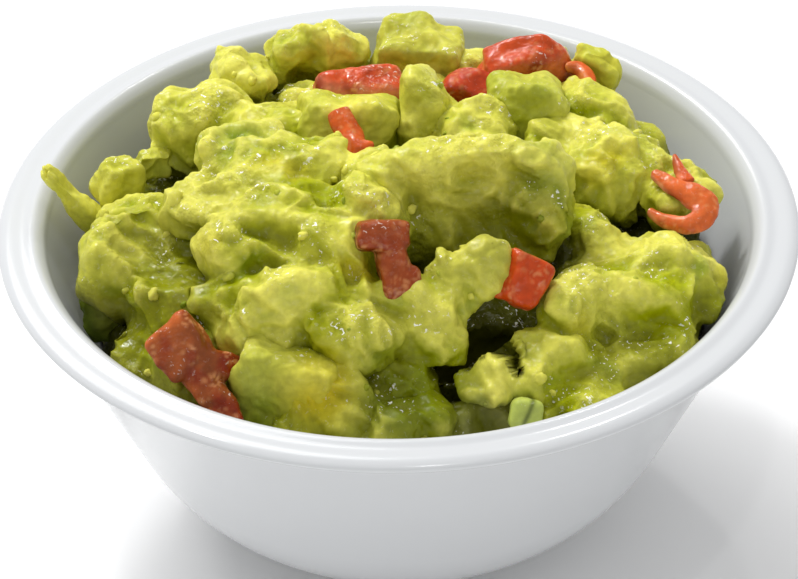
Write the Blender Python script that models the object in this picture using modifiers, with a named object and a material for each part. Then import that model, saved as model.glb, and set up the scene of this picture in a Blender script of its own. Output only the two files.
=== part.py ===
"""Guacamole in a small porcelain dip bowl.

A turned bowl with a wide soft rim holds a heap of roughly mashed avocado.
Diced tomato, larger pieces of avocado and one bit of green chilli are pressed
into the heap, each as a solid of its own with the mash cut round it.

Metres, +Z up. The origin is the centre of the foot, on the table. The front of
the bowl looks along -Y.
"""

import math

import bmesh
import bpy
import numpy as np
from mathutils import Euler, Matrix, Vector, noise

MM = 0.001

# The bowl, in millimetres
HEIGHT = 62.0  # table to the top of the rim
RIM_RADIUS = 70.0  # outermost edge of the rim
LIP_THICKNESS = 2.7  # the rim's rounded edge, top to bottom
LIP_OVERHANG = 4.3  # how far the rim stands out from the wall below it
WALL = 3.8  # wall thickness
WALL_ANGLE = math.radians(66.0)  # the straight wall, up from the table
BASE_FILLET = 40.0  # outer radius where the wall turns into the base
FOOT_RADIUS = 25.0  # the flat it stands on
BOWL_STEPS = 44

# The filling, in millimetres
GAP = 0.3  # between pieces that touch
POCKET_SWELL = 0.45  # by which the pocket in the mash is larger than its piece
WALL_CLEARANCE = 0.55  # from a coarse facet's corner to the bowl's curved wall
SHOULDER_DROP = 17.0  # below the rim, where the dome under the lumps starts
DOME_RISE = 20.0
VOXEL = 1.5
MASH_TRIANGLES = 2880


# The scene


def clear_scene():
    for obj in list(bpy.data.objects):
        bpy.data.objects.remove(obj, do_unlink=True)


def new_collection(name):
    collection = bpy.data.collections.new(name)
    bpy.context.scene.collection.children.link(collection)
    return collection


def material(name, color, roughness, metallic=0.0):
    made = bpy.data.materials.new(name)
    made.use_nodes = True
    shader = made.node_tree.nodes["Principled BSDF"]
    shader.inputs["Base Color"].default_value = (*color, 1.0)
    shader.inputs["Roughness"].default_value = roughness
    shader.inputs["Metallic"].default_value = metallic
    return made


def add_object(name, mesh, collection, look=None):
    obj = bpy.data.objects.new(name, mesh)
    collection.objects.link(obj)
    if look:
        mesh.materials.append(look)
    return obj


def evaluated_mesh(obj):
    """A copy of the object's mesh with its modifiers applied."""
    graph = bpy.context.evaluated_depsgraph_get()
    graph.update()
    return bpy.data.meshes.new_from_object(obj.evaluated_get(graph))


# Turned shapes


def foot_arc_centre():
    """Centre (r, z) of the arc that joins the straight wall to the base."""
    wall_r, wall_z = RIM_RADIUS - LIP_OVERHANG, HEIGHT - LIP_THICKNESS
    out = (
        -BASE_FILLET + math.cos(WALL_ANGLE) * (BASE_FILLET - wall_z)
    ) / math.sin(WALL_ANGLE)
    return wall_r + out, BASE_FILLET


def inside_radius(z):
    """Radius of the bowl's inner face at height z above the table."""
    centre_r, centre_z = foot_arc_centre()
    radius = BASE_FILLET - WALL
    tangent_z = centre_z - radius * math.cos(WALL_ANGLE)
    if z <= centre_z - radius:
        return 0.0
    if z < tangent_z:
        return centre_r + math.sqrt(radius**2 - (centre_z - z) ** 2)
    tangent_r = centre_r + radius * math.sin(WALL_ANGLE)
    return tangent_r + (z - tangent_z) / math.tan(WALL_ANGLE)


def arc(centre, radius, start, end, steps):
    """Points on a circle, from angle start to end, measured from straight down."""
    return [
        (centre[0] + radius * math.sin(a), centre[1] - radius * math.cos(a))
        for a in np.linspace(start, end, steps)
    ]


def smooth_through(points, per_span):
    """A Catmull-Rom curve through the points."""
    line = [points[0], *points, points[-1]]
    curve = []
    for a, b, c, d in zip(line, line[1:], line[2:], line[3:]):
        for t in np.arange(per_span) / per_span:
            curve.append(
                tuple(
                    0.5
                    * (
                        2 * q
                        + (r - p) * t
                        + (2 * p - 5 * q + 4 * r - s) * t**2
                        + (3 * q - p - 3 * r + s) * t**3
                    )
                    for p, q, r, s in zip(a, b, c, d)
                )
            )
    return [*curve, points[-1]]


def turned(name, profile, collection, steps, look=None):
    """A solid of revolution: the profile at +X, carried round Z by a Screw."""
    mesh = bpy.data.meshes.new(name)
    mesh.from_pydata(
        [(r * MM, 0.0, z * MM) for r, z in profile],
        [(i, i + 1) for i in range(len(profile) - 1)],
        [],
    )
    obj = add_object(name, mesh, collection, look)
    screw = obj.modifiers.new("Turn", "SCREW")
    screw.axis = "Z"
    screw.steps = screw.render_steps = steps
    screw.use_merge_vertices = True
    screw.merge_threshold = 0.00002
    screw.use_smooth_shade = True
    return obj


def bowl_profile():
    """Inner floor, inner wall, rim, outer wall, base fillet, foot."""
    centre = foot_arc_centre()
    inner = arc(centre, BASE_FILLET - WALL, 0.0, WALL_ANGLE, 8)
    edge = inside_radius(HEIGHT - 3.0)
    under_lip = HEIGHT - LIP_THICKNESS
    wall_r = RIM_RADIUS - LIP_OVERHANG
    rim = smooth_through(
        [
            (edge, HEIGHT - 3.0),
            (edge + 0.8, HEIGHT - 1.3),
            (edge + 2.4, HEIGHT),  # crest of the inner bead
            (edge + 4.4, HEIGHT - 0.35),
            (RIM_RADIUS - 1.5, HEIGHT - 0.5),
            (RIM_RADIUS, HEIGHT - LIP_THICKNESS * 0.55),
            (RIM_RADIUS - 1.1, under_lip),
            (wall_r + 0.6, under_lip - 0.5),
            (wall_r - 0.9, under_lip - 2.2),
        ],
        2,
    )
    foot_angle = math.asin((FOOT_RADIUS - centre[0]) / BASE_FILLET)
    outer = arc(centre, BASE_FILLET, WALL_ANGLE, foot_angle, 8)
    foot_z = outer[-1][1]
    return [
        (0.0, inner[0][1]),
        *inner,
        *rim,
        *outer,
        (FOOT_RADIUS - 0.3, foot_z * 0.3),
        (FOOT_RADIUS - 0.8, 0.0),
        (0.0, 0.0),
    ]


# Chunks: rounded blocks, bent, pinched or tapered, with an uneven skin


def chunk_mesh(name, half, box=4.0, uneven=0.07, seed=0, cuts=2, bend=0.0,
               pinch=0.0, taper=0.0, turn=(0, 0, 0), at=(0, 0, 0), swell=0.0):
    """A cube's surface pulled in to |x|^n + |y|^n + |z|^n = 1, n being box.

    half is in mm. pinch narrows the middle of its length (Z) and taper its top,
    as shares. bend is the radius, in mm, of the arc its length follows.
    uneven is the share by which smooth noise moves the skin, and swell moves
    the whole skin outwards, in mm.
    """
    bm = bmesh.new()
    bmesh.ops.create_cube(bm, size=2.0)
    bmesh.ops.subdivide_edges(bm, edges=bm.edges[:], cuts=cuts, use_grid_fill=True)
    shift = Vector((seed * 3.7, seed * 1.9, -seed * 2.3))
    for vert in bm.verts:
        p = vert.co.copy()
        norm = sum(abs(c) ** box for c in p) ** (1.0 / box)
        p /= norm
        p *= 1.0 + uneven * 1.6 * noise.noise(p * 1.3 + shift)
        narrow = (1.0 - pinch * (1.0 - p.z**2)) * (1.0 - taper * (p.z + 1.0) / 2.0)
        x, y, z = p.x * half[0] * narrow, p.y * half[1] * narrow, p.z * half[2]
        if bend:
            angle = z / bend
            x, z = (bend + x) * math.cos(angle) - bend, (bend + x) * math.sin(angle)
        vert.co = Vector((x, y, z))
    bm.normal_update()
    if swell:
        moved = [(v, v.co + v.normal * swell) for v in bm.verts]
        for vert, co in moved:
            vert.co = co
    place = Matrix.Translation(Vector(at)) @ Euler(
        [math.radians(a) for a in turn]
    ).to_matrix().to_4x4()
    bmesh.ops.transform(bm, matrix=Matrix.Scale(MM, 4) @ place, verts=bm.verts)
    bmesh.ops.recalc_face_normals(bm, faces=bm.faces)
    mesh = bpy.data.meshes.new(name)
    bm.to_mesh(mesh)
    bm.free()
    mesh.shade_smooth()
    return mesh


def chunk(name, collection, cutters, look, at, half, turn=(0, 0, 0), **shape):
    """A chunk, and beside it the slightly larger form that clears its pocket.

    at is (x, y, height above the rim), in mm.
    """
    place = (at[0], at[1], HEIGHT + at[2])
    mesh = chunk_mesh(name, half, turn=turn, at=place, **shape)
    clamp_inside(mesh, WALL_CLEARANCE)
    obj = add_object(name, mesh, collection, look)
    cutter = add_object(
        name + "_pocket",
        chunk_mesh(name + "_pocket", half, turn=turn, at=place, swell=POCKET_SWELL, **shape),
        cutters,
    )
    cutter.hide_render = True
    cutter.display_type = "WIRE"
    return obj


# Tomato dice: (name, place, half sizes, turn, shape)
TOMATO = [
    ("tomato_back_left", (-7, 25, 9), (7.4, 4.2, 5.0), (20, 4, 4), {"box": 5}),
    ("tomato_waisted", (-7.5, 4.2, 13.2), (3.7, 1.7, 5.8), (-38, 14, 0), {"pinch": 0.4}),
    ("tomato_back_small", (12.5, 26.5, 7.5), (4.2, 3.4, 3.4), (15, 20, -12), {}),
    ("tomato_back_large", (24, 33, 8.2), (7.6, 3.8, 5.0), (15, -14, 6), {"box": 5}),
    ("tomato_strip_back", (36.0, 28.0, 8.5), (1.5, 2.0, 4.6), (-37, -30, 0), {"bend": 5}),
    ("tomato_centre", (-2.0, -26.6, 10.0), (3.3, 3.2, 5.8), (-35, 12, 10),
     {"taper": -0.45}),
    ("tomato_right_centre", (21, -27.8, 6.3), (4.2, 3.0, 5.4), (-35, 24, 0), {"box": 6}),
    ("tomato_front_left", (-33.2, -43.0, -2.2), (4.6, 2.3, 10.0), (-42, -38, 14),
     {"pinch": 0.25, "cuts": 3}),
    ("tomato_right_hook", (52.6, -8.4, 5.6), (2.1, 2.0, 8.6), (-37, 8, 0),
     {"bend": 4.8, "cuts": 3}),
    ("tomato_right_strand", (49.4, 1.2, 8.6), (1.0, 1.2, 4.4), (-37, -20, 0), {}),
]

# Pieces of avocado that keep their cut shape
AVOCADO = [
    ("avocado_spear_left", (-55.6, -1.0, -1.5), (2.7, 3.4, 9.6), (24, -32, 0),
     {"taper": 0.6, "cuts": 3}),
    ("avocado_cube_left_back", (-50, 9.5, 0.0), (5.0, 4.6, 4.8), (5, 18, 30), {"taper": 0.3}),
    ("avocado_nub_left_back", (-43.4, 14.0, 1.5), (3.0, 2.6, 2.2), (0, 10, 12), {}),
    ("avocado_cube_back", (4.3, 42.0, 4.0), (7.8, 5.6, 6.6), (8, 6, -8), {}),
    ("avocado_cube_centre_back", (-8.5, 12.5, 8.5), (9.0, 5.8, 7.4), (-22, 6, 4), {}),
    ("avocado_cube_right_back", (23, 18.0, 8.0), (6.8, 5.4, 6.0), (-18, 14, 8), {}),
    ("avocado_slab_right_back", (35.6, 35.0, 3.6), (4.6, 2.2, 6.6), (10, 14, -30), {}),
    ("avocado_chunk_left_low", (-50.8, -16.6, -8.5), (3.2, 3.4, 5.2), (-10, -18, -20), {}),
    ("avocado_chunk_front", (-21.2, -40.6, -8.4), (5.8, 5.0, 7.0), (-12, 10, -20), {"box": 5}),
]

CHILLI = [
    ("chilli_bit_front", (20.5, -48.6, -7.4), (2.7, 2.0, 2.7), (-30, 12, 0), {}),
]

# Lumps of the mash: (place, half sizes, turn), in mm, height above the rim
LUMPS = [
    # left side
    ((-44, -4, -1), (8.0, 6.5, 6.0), (0, 0, 10)),
    ((-42.5, -16, -1), (10.5, 8.0, 8.5), (-12, 14, 20)),
    ((-40, -31, -9), (8.5, 7.0, 9.0), (-20, 0, 30)),
    # back, left to right
    ((-34, 21, 2.5), (9.0, 7.0, 7.5), (0, 0, 12)),
    ((-28, 33, 3.5), (6.0, 5.5, 7.0), (0, 0, 0)),
    ((-17, 40, 4.5), (5.0, 5.0, 8.5), (0, -8, 0)),
    ((-9.5, 42, 3), (5.5, 4.5, 7.0), (0, 15, 0)),
    ((16, 38, 0), (8.0, 6.0, 6.5), (0, 0, 0)),
    ((24, 38, 2.5), (8.5, 4.5, 6.0), (0, 0, 8)),
    ((35, 22, 1), (8.0, 7.0, 7.0), (0, 0, -20)),
    # middle, behind the crown
    ((5, 14, 9.5), (4.2, 5.0, 8.5), (-20, -10, 0)),
    ((-22, 14, 4), (9.0, 8.0, 7.0), (0, 0, 0)),
    ((13, 9, 7), (7.0, 7.0, 7.0), (0, 0, 0)),
    # the crown and its smooth front face
    ((8, -9, 12), (12.0, 7.0, 8.0), (28, 0, -6)),
    ((21, -9, 10), (9.0, 6.5, 8.5), (28, 6, -14)),
    ((12, -20, 6), (11.0, 7.0, 7.5), (32, 0, 0)),
    # the lumpy left half
    ((-27, 1, 8), (8.0, 7.0, 6.5), (0, 0, 20)),
    ((-16, -4, 10), (7.5, 6.5, 6.5), (0, 0, 0)),
    ((-32, -10, 5), (7.0, 6.5, 7.0), (0, 0, 0)),
    ((-17, -16, 9), (8.5, 7.0, 6.5), (0, 10, 0)),
    ((-6, -17, 10), (6.5, 6.0, 6.0), (0, 0, 0)),
    ((-28, -29, 0), (7.0, 7.0, 7.5), (-20, 0, 0)),
    ((-17, -31, 3), (9.0, 7.0, 7.5), (-20, 0, 0)),
    ((-7, -36, 0), (8.5, 6.5, 6.0), (-25, 0, 12)),
    ((-13, -44, -8), (8.0, 6.0, 7.5), (-20, 0, 0)),
    # folds at the front
    ((10, -30, 6.5), (8.5, 4.6, 5.2), (-10, -35, 25)),
    ((7, -36, -1), (5.0, 4.0, 5.0), (0, 0, 0)),
    ((1, -45, -13), (9.0, 7.0, 6.0), (0, 0, 0)),
    # right side
    ((43, 6, 2), (11.0, 7.5, 6.0), (0, 8, -20)),
    ((50, 1, 1), (5.0, 6.0, 5.6), (0, 10, 0)),
    ((40, -18, -3), (13.0, 7.5, 7.0), (-10, 6, 12)),
    ((48, -21, -3), (6.5, 5.0, 5.0), (0, 6, 0)),
    ((30, -28, -3), (6.0, 7.0, 7.5), (-20, 0, 0)),
    ((41, -32, -10), (11.0, 7.5, 7.5), (-20, 0, 20)),
    ((18, -41, -6), (8.5, 4.6, 4.4), (0, -10, 12)),
    ((30, -42, -12), (8.0, 7.0, 6.5), (0, 0, 10)),
]


# Rings of smaller lumps that fill in under and between the ones above, lower
# towards the front, where the heap is open and folded:
# (radius, height above the rim, how many, half size), in mm
FILLER_RINGS = [(45.5, -10.0, 17, 7.4), (30.0, -1.0, 11, 7.2)]
FRONT_DROP = 8.0


def filler_lumps():
    """Each ring's lumps stand at even angles, then sway by smooth noise."""
    lumps = []
    for radius, height, count, half in FILLER_RINGS:
        for i in range(count):
            angle = 2.0 * math.pi * (i + 0.5) / count
            sway = Vector(
                [
                    noise.noise(Vector((radius * 0.37 + 0.4, i * 2.3 + 0.7, k)))
                    for k in (1.7, 5.2, 9.6)
                ]
            )
            r = radius + 2.5 * sway.x
            size = half * (1.0 + 0.35 * sway.y)
            front = FRONT_DROP * max(0.0, -math.sin(angle))
            lumps.append(
                (
                    (r * math.cos(angle), r * math.sin(angle),
                     height - front + 3.0 * sway.z),
                    (size * 1.1, size, size * 0.95),
                    (20.0 * sway.x, 20.0 * sway.y, math.degrees(angle)),
                )
            )
    return lumps


def mash_core():
    """Profile of what fills the bowl under the lumps: its inside, then a dome."""
    shoulder = HEIGHT - SHOULDER_DROP
    wall = [
        (inside_radius(z) - GAP - 0.2, z)
        for z in np.linspace(WALL + GAP + 0.6, shoulder, 16)
    ]
    edge = wall[-1][0]
    dome = [
        (edge * math.cos(a), shoulder + DOME_RISE * math.sin(a) ** 2)
        for a in np.linspace(0.0, math.pi / 2, 12)
    ]
    return [*dome[::-1], *wall[-2::-1], (0.0, WALL + GAP + 0.5)]


def clamp_inside(mesh, margin):
    """Draws every vertex in to the bowl's inner face, less the margin in mm."""
    for vert in mesh.vertices:
        x, y, z = vert.co / MM
        z = max(z, WALL + margin)
        most = max(inside_radius(z) - margin, 0.0)
        r = math.hypot(x, y)
        if r > most:
            x, y = x * most / r, y * most / r
        vert.co = Vector((x, y, z)) * MM


def largest_body(mesh):
    """Removes every crumb that a cut has left apart from the main body."""
    bm = bmesh.new()
    bm.from_mesh(mesh)
    left, bodies = set(bm.verts), []
    while left:
        body, front = set(), [left.pop()]
        while front:
            vert = front.pop()
            body.add(vert)
            for edge in vert.link_edges:
                other = edge.other_vert(vert)
                if other in left:
                    left.remove(other)
                    front.append(other)
        bodies.append(body)
    main = max(bodies, key=len)
    bmesh.ops.delete(bm, geom=[v for v in bm.verts if v not in main], context="VERTS")
    bm.to_mesh(mesh)
    bm.free()


def mash(name, collection, cutters, look):
    """The core and its lumps made one skin, kept inside the bowl, then cut."""
    core = turned("mash_core", mash_core(), cutters, 64)
    skin = bmesh.new()
    raw = [evaluated_mesh(core)]
    for i, (at, half, turn) in enumerate(LUMPS + filler_lumps()):
        place = (at[0], at[1], HEIGHT + at[2])
        raw.append(
            chunk_mesh("lump", half, box=2.6, uneven=0.16, seed=i + 1, cuts=9,
                       turn=turn, at=place)
        )
    for mesh in raw:
        skin.from_mesh(mesh)
    for mesh in raw:
        bpy.data.meshes.remove(mesh)
    joined = bpy.data.meshes.new(name)
    skin.to_mesh(joined)
    skin.free()
    clamp_inside(joined, GAP + 0.15)
    core.hide_render = True
    core.display_type = "WIRE"

    draft = add_object("mash_draft", joined, cutters)
    remesh = draft.modifiers.new("One skin", "REMESH")
    remesh.mode = "VOXEL"
    remesh.voxel_size = VOXEL * MM
    soften = draft.modifiers.new("Soften", "SMOOTH")
    soften.factor, soften.iterations = 0.5, 1
    fine = evaluated_mesh(draft)
    draft.modifiers.clear()
    draft.data = fine
    count = sum(len(p.vertices) - 2 for p in fine.polygons)
    thin = draft.modifiers.new("Thin out", "DECIMATE")
    thin.ratio = MASH_TRIANGLES / count
    coarse = evaluated_mesh(draft)
    clamp_inside(coarse, WALL_CLEARANCE)
    largest_body(coarse)

    draft.modifiers.clear()
    draft.data = coarse
    for cutter in list(cutters.objects):
        if not cutter.name.endswith("_pocket"):
            continue
        cut = draft.modifiers.new("Pocket", "BOOLEAN")
        cut.operation = "DIFFERENCE"
        cut.object = cutter
    cut_mesh = evaluated_mesh(draft)
    draft.modifiers.clear()
    largest_body(cut_mesh)
    bpy.data.objects.remove(draft, do_unlink=True)
    cut_mesh.name = name
    cut_mesh.shade_smooth()
    cut_mesh.materials.clear()
    return add_object(name, cut_mesh, collection, look)


def main():
    clear_scene()
    parts = new_collection("guacamole_in_bowl")
    cutters = new_collection("cutters")
    porcelain = material("porcelain", (0.83, 0.84, 0.85), 0.15)
    tomato = material("tomato", (0.55, 0.06, 0.02), 0.3)
    avocado = material("avocado", (0.42, 0.44, 0.04), 0.4)
    mashed = material("mashed_avocado", (0.40, 0.42, 0.04), 0.4)
    chilli = material("green_chilli", (0.42, 0.50, 0.12), 0.35)

    turned("bowl", bowl_profile(), parts, BOWL_STEPS, porcelain)
    seed = 0
    for table, look in ((TOMATO, tomato), (AVOCADO, avocado), (CHILLI, chilli)):
        for name, at, half, turn, shape in table:
            seed += 1
            chunk(name, parts, cutters, look, at, half, turn, seed=seed, **shape)
    mash("guacamole", parts, cutters, mashed)


main()
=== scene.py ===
# %% [markdown]
# # Guacamole in a porcelain dip bowl
#
# Rough mashed avocado is not one shape but many: soft lumps pressed together,
# faces scooped smooth by a spoon, and small crumbs and knobs all over. This
# lesson builds it in that order. Lumps become one skin, scoops dent the skin,
# and relief from noise roughens it. Tomato, larger avocado pieces and a bit of
# chilli are pressed in, and a turned bowl holds it all.

# %% Tools and the frame
import math

import bpy
import numpy as np
from mathutils import Matrix, Vector


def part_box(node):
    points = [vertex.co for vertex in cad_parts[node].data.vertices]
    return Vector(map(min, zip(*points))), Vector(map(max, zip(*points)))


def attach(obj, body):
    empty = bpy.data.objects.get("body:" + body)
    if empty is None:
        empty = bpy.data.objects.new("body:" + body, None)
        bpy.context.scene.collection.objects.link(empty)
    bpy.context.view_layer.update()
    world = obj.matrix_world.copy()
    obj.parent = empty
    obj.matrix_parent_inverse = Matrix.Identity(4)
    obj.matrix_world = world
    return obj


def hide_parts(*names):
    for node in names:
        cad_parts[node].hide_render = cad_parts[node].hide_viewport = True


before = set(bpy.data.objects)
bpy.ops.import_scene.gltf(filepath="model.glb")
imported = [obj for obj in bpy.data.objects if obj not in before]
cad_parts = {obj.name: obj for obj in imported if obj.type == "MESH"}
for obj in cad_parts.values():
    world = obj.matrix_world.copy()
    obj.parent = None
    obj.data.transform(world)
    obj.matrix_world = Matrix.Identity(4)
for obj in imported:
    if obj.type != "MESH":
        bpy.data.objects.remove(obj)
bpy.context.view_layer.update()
MM = 0.001
BOWL_LOW, BOWL_HIGH = (np.array(corner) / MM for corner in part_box("bowl"))
HEIGHT = BOWL_HIGH[2]
RIM_RADIUS = BOWL_HIGH[0]
print(f"bowl {2 * RIM_RADIUS:.0f} mm across, {HEIGHT:.0f} mm tall")

# %% [markdown]
# ## The camera
#
# The bowl is seen from a little over a third of the way up, through a long
# lens, so its rim is an ellipse with almost parallel sides. The camera is set
# first, because every shape below is judged through it.

# %% Camera
DISTANCE = 600.0  # mm from the middle of the rim
ELEVATION, PITCH, ROLL = (math.radians(a) for a in (35.17, 36.5, -0.87))

camera_data = bpy.data.cameras.new("camera")
camera_data.lens, camera_data.sensor_width = 154.6, 36.0
camera_data.shift_x = -0.0007
camera_data.clip_start, camera_data.clip_end = 0.02, 20.0
camera = bpy.data.objects.new("camera", camera_data)
bpy.context.scene.collection.objects.link(camera)
eye = (
    0.0,
    -DISTANCE * math.cos(ELEVATION) * MM,
    (DISTANCE * math.sin(ELEVATION) + HEIGHT) * MM,
)
camera.matrix_world = (
    Matrix.Translation(eye)
    @ Matrix.Rotation(math.pi / 2 - PITCH, 4, "X")
    @ Matrix.Rotation(ROLL, 4, "Z")
)
bpy.context.scene.camera = camera
print("camera at", [round(c, 3) for c in eye])

# %% [markdown]
# ## Noise as whole arrays
#
# Food has no two places alike, and noise is how that is written down. Two
# kinds are enough here. Gradient noise is a smooth swell, with hills as wide
# as the size it is given. Cell noise is a field of round bumps that meet in
# creases, like curds. Both take all the points of a mesh at once.

# %% Gradient noise and cell noise
rng = np.random.default_rng(11)
SLOPES = rng.normal(size=(256, 3))
SLOPES /= np.linalg.norm(SLOPES, axis=1, keepdims=True)
CORNERS = np.stack(np.meshgrid(*[(0, 1)] * 3, indexing="ij"), -1).reshape(-1, 3)
AROUND = np.stack(np.meshgrid(*[(-1, 0, 1)] * 3, indexing="ij"), -1).reshape(-1, 3)


def scatter(cells, seed):
    """Mixes three whole numbers and a seed into one well scattered number."""
    x, y, z = (cells[:, i].astype(np.int64).astype(np.uint32) for i in range(3))
    mixed = x * np.uint32(374761393) ^ y * np.uint32(668265263)
    mixed ^= z * np.uint32(2246822519) ^ np.uint32(seed * 3266489917 % 2**32)
    mixed = (mixed ^ (mixed >> np.uint32(15))) * np.uint32(2246822519)
    return mixed ^ (mixed >> np.uint32(13))


def swell(points, size, seed=0):
    """Gradient noise, about -1 to 1: each corner of a lattice has a slope, and a
    point takes the eight slopes round it, faded by 6t^5 - 15t^4 + 10t^3."""
    scaled = points / size
    base = np.floor(scaled)
    inside = scaled - base
    fade = inside**3 * (inside * (inside * 6.0 - 15.0) + 10.0)
    total = np.zeros(len(points))
    for corner in CORNERS:
        slope = SLOPES[scatter(base + corner, seed) & np.uint32(255)]
        weight = np.prod(np.where(corner, fade, 1.0 - fade), axis=1)
        total += weight * ((inside - corner) * slope).sum(axis=1)
    return total * 1.7


def curds(points, size, seed=0):
    """Cell noise, 0 in the creases to 1 on the bumps: one minus the squared
    distance to the nearest of the points strewn one to a lattice cell."""
    scaled = points / size
    base = np.floor(scaled)
    nearest = np.full(len(points), 9.0)
    for step in AROUND:
        mixed = scatter(base + step, seed)
        jitter = np.stack([(mixed >> np.uint32(s)) & np.uint32(1023) for s in (0, 10, 20)], 1)
        away = base + step + jitter / 1023.0 - scaled
        nearest = np.minimum(nearest, (away**2).sum(axis=1))
    return np.clip(1.0 - nearest, 0.0, 1.0)


# %% [markdown]
# ## Closed surfaces
#
# Every new piece starts as a grid of rings and spokes whose two ends close in a
# single point, as on a globe. A bowl, a lump and a cut cube of tomato are then
# the same mesh with its points in different places. The sign of its volume
# says whether its faces point out, and turns them if they don't.

# %% Grids, meshes and normals
def globe_faces(rings, spokes):
    """Triangles over rings x spokes points, row by row, then the two poles."""
    ring, spoke = np.meshgrid(np.arange(rings - 1), np.arange(spokes), indexing="ij")
    a = (ring * spokes + spoke).ravel()
    b = (ring * spokes + (spoke + 1) % spokes).ravel()
    c, d = a + spokes, b + spokes
    first = np.arange(spokes)
    after = (first + 1) % spokes
    last = (rings - 1) * spokes
    north = np.full(spokes, rings * spokes)
    return np.concatenate(
        [
            np.stack([a, c, b], 1),
            np.stack([b, c, d], 1),
            np.stack([north, first, after], 1),
            np.stack([north + 1, last + after, last + first], 1),
        ]
    )


def outward(points, faces):
    """The faces, turned round if the volume they enclose is negative."""
    corners = points[faces]
    volume = np.einsum("ij,ij->i", corners[:, 0], np.cross(corners[:, 1], corners[:, 2]))
    return faces[:, ::-1] if volume.sum() < 0 else faces


def normals_of(points, faces):
    """Each vertex's normal: the sum of its faces' cross products, made unit."""
    corners = points[faces]
    across = np.cross(corners[:, 1] - corners[:, 0], corners[:, 2] - corners[:, 0])
    total = np.stack(
        [
            np.bincount(faces.ravel(), np.repeat(across[:, i], 3), len(points))
            for i in range(3)
        ],
        1,
    )
    return total / np.maximum(np.linalg.norm(total, axis=1, keepdims=True), 1e-12)


def mesh_from(name, points, faces):
    """Points in mm and triangles, put straight into a mesh's own arrays."""
    mesh = bpy.data.meshes.new(name)
    mesh.vertices.add(len(points))
    mesh.vertices.foreach_set("co", (points * MM).astype(np.float32).ravel())
    mesh.loops.add(faces.size)
    mesh.loops.foreach_set("vertex_index", faces.astype(np.int32).ravel())
    mesh.polygons.add(len(faces))
    mesh.polygons.foreach_set("loop_start", np.arange(0, faces.size, 3, dtype=np.int32))
    mesh.update(calc_edges=True)
    mesh.shade_smooth()
    return mesh


def put(name, points, faces, look, replaced=(), tint=None):
    """Adds a finished piece: mesh, look, the CAD node it stands for, its colours."""
    mesh = mesh_from(name, points, faces)
    mesh.materials.append(look)
    if tint is not None:
        layer = mesh.attributes.new("tint", "FLOAT_COLOR", "POINT")
        rgba = np.concatenate([tint, np.ones((len(tint), 1))], 1)
        layer.data.foreach_set("color", rgba.astype(np.float32).ravel())
    obj = bpy.data.objects.new(name, mesh)
    bpy.context.scene.collection.objects.link(obj)
    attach(obj, "root")
    if replaced:
        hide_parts(*replaced)
    print(f"{name}: {len(faces)} triangles")
    return obj


# %% [markdown]
# ## Colours and nodes
#
# Colours are written as they would be on a screen, as hex, and turned into the
# linear light that Blender mixes. One small function adds a node, sets what it
# is given and links its inputs, and every material below is built with it.

# %% Colour and node helpers
def linear(hex_colour):
    """sRGB hex to linear: c/12.92 when dark, else ((c + 0.055)/1.055)^2.4."""
    c = np.array([int(hex_colour[i : i + 2], 16) / 255.0 for i in (1, 3, 5)])
    return np.where(c <= 0.04045, c / 12.92, ((c + 0.055) / 1.055) ** 2.4)


def rgba(hex_colour):
    return (*linear(hex_colour), 1.0)


def new_material(name):
    look = bpy.data.materials.new(name)
    look.use_nodes = True
    tree = look.node_tree
    return look, tree, tree.nodes["Principled BSDF"]


def add(tree, kind, inputs=None, **settings):
    """A node of that kind. inputs maps a socket's name or number to a value or
    to another node's output socket; the rest are the node's own settings."""
    node = tree.nodes.new("ShaderNode" + kind)
    for key, value in settings.items():
        setattr(node, key, value)
    for key, value in (inputs or {}).items():
        if isinstance(value, bpy.types.NodeSocket):
            tree.links.new(value, node.inputs[key])
        else:
            node.inputs[key].default_value = value
    return node


def set_shader(shader, **values):
    for key, value in values.items():
        shader.inputs[key.replace("_", " ")].default_value = value


# %% [markdown]
# ## The bowl
#
# A slip-cast porcelain bowl is turned about its axis: one profile says all of
# it. From the middle of the floor the profile runs up the inside, over a low
# bead, across a flat rim, round its soft outer edge and down to the foot. The
# straight wall meets the base in a wide arc, worked out from the wall's angle.

# %% The bowl's profile
LIP_THICKNESS, LIP_OVERHANG, WALL = 2.7, 4.3, 3.8
WALL_ANGLE = math.radians(66.0)
BASE_FILLET, FOOT_RADIUS = 40.0, 25.0
INNER_FILLET = BASE_FILLET - WALL
wall_r, wall_z = RIM_RADIUS - LIP_OVERHANG, HEIGHT - LIP_THICKNESS
FILLET_R = wall_r + (
    math.cos(WALL_ANGLE) * (BASE_FILLET - wall_z) - BASE_FILLET
) / math.sin(WALL_ANGLE)


def inside_radius(z):
    """The inner face's radius at each height: a circle's up to where the wall
    leaves it, then a straight line at the wall's angle."""
    z = np.asarray(z, float)
    tangent_z = BASE_FILLET - INNER_FILLET * math.cos(WALL_ANGLE)
    drop = np.clip(BASE_FILLET - z, 0.0, INNER_FILLET)
    on_arc = FILLET_R + np.sqrt(INNER_FILLET**2 - drop**2)
    tangent_r = FILLET_R + INNER_FILLET * math.sin(WALL_ANGLE)
    on_wall = tangent_r + (z - tangent_z) / math.tan(WALL_ANGLE)
    low = z <= BASE_FILLET - INNER_FILLET
    return np.where(low, 0.0, np.where(z < tangent_z, on_arc, on_wall))


def arc(radius, start, end, steps):
    """Points on a circle about the fillet's centre, angles from straight down."""
    a = np.linspace(start, end, steps)
    return np.stack([FILLET_R + radius * np.sin(a), BASE_FILLET - radius * np.cos(a)], 1)


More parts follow.
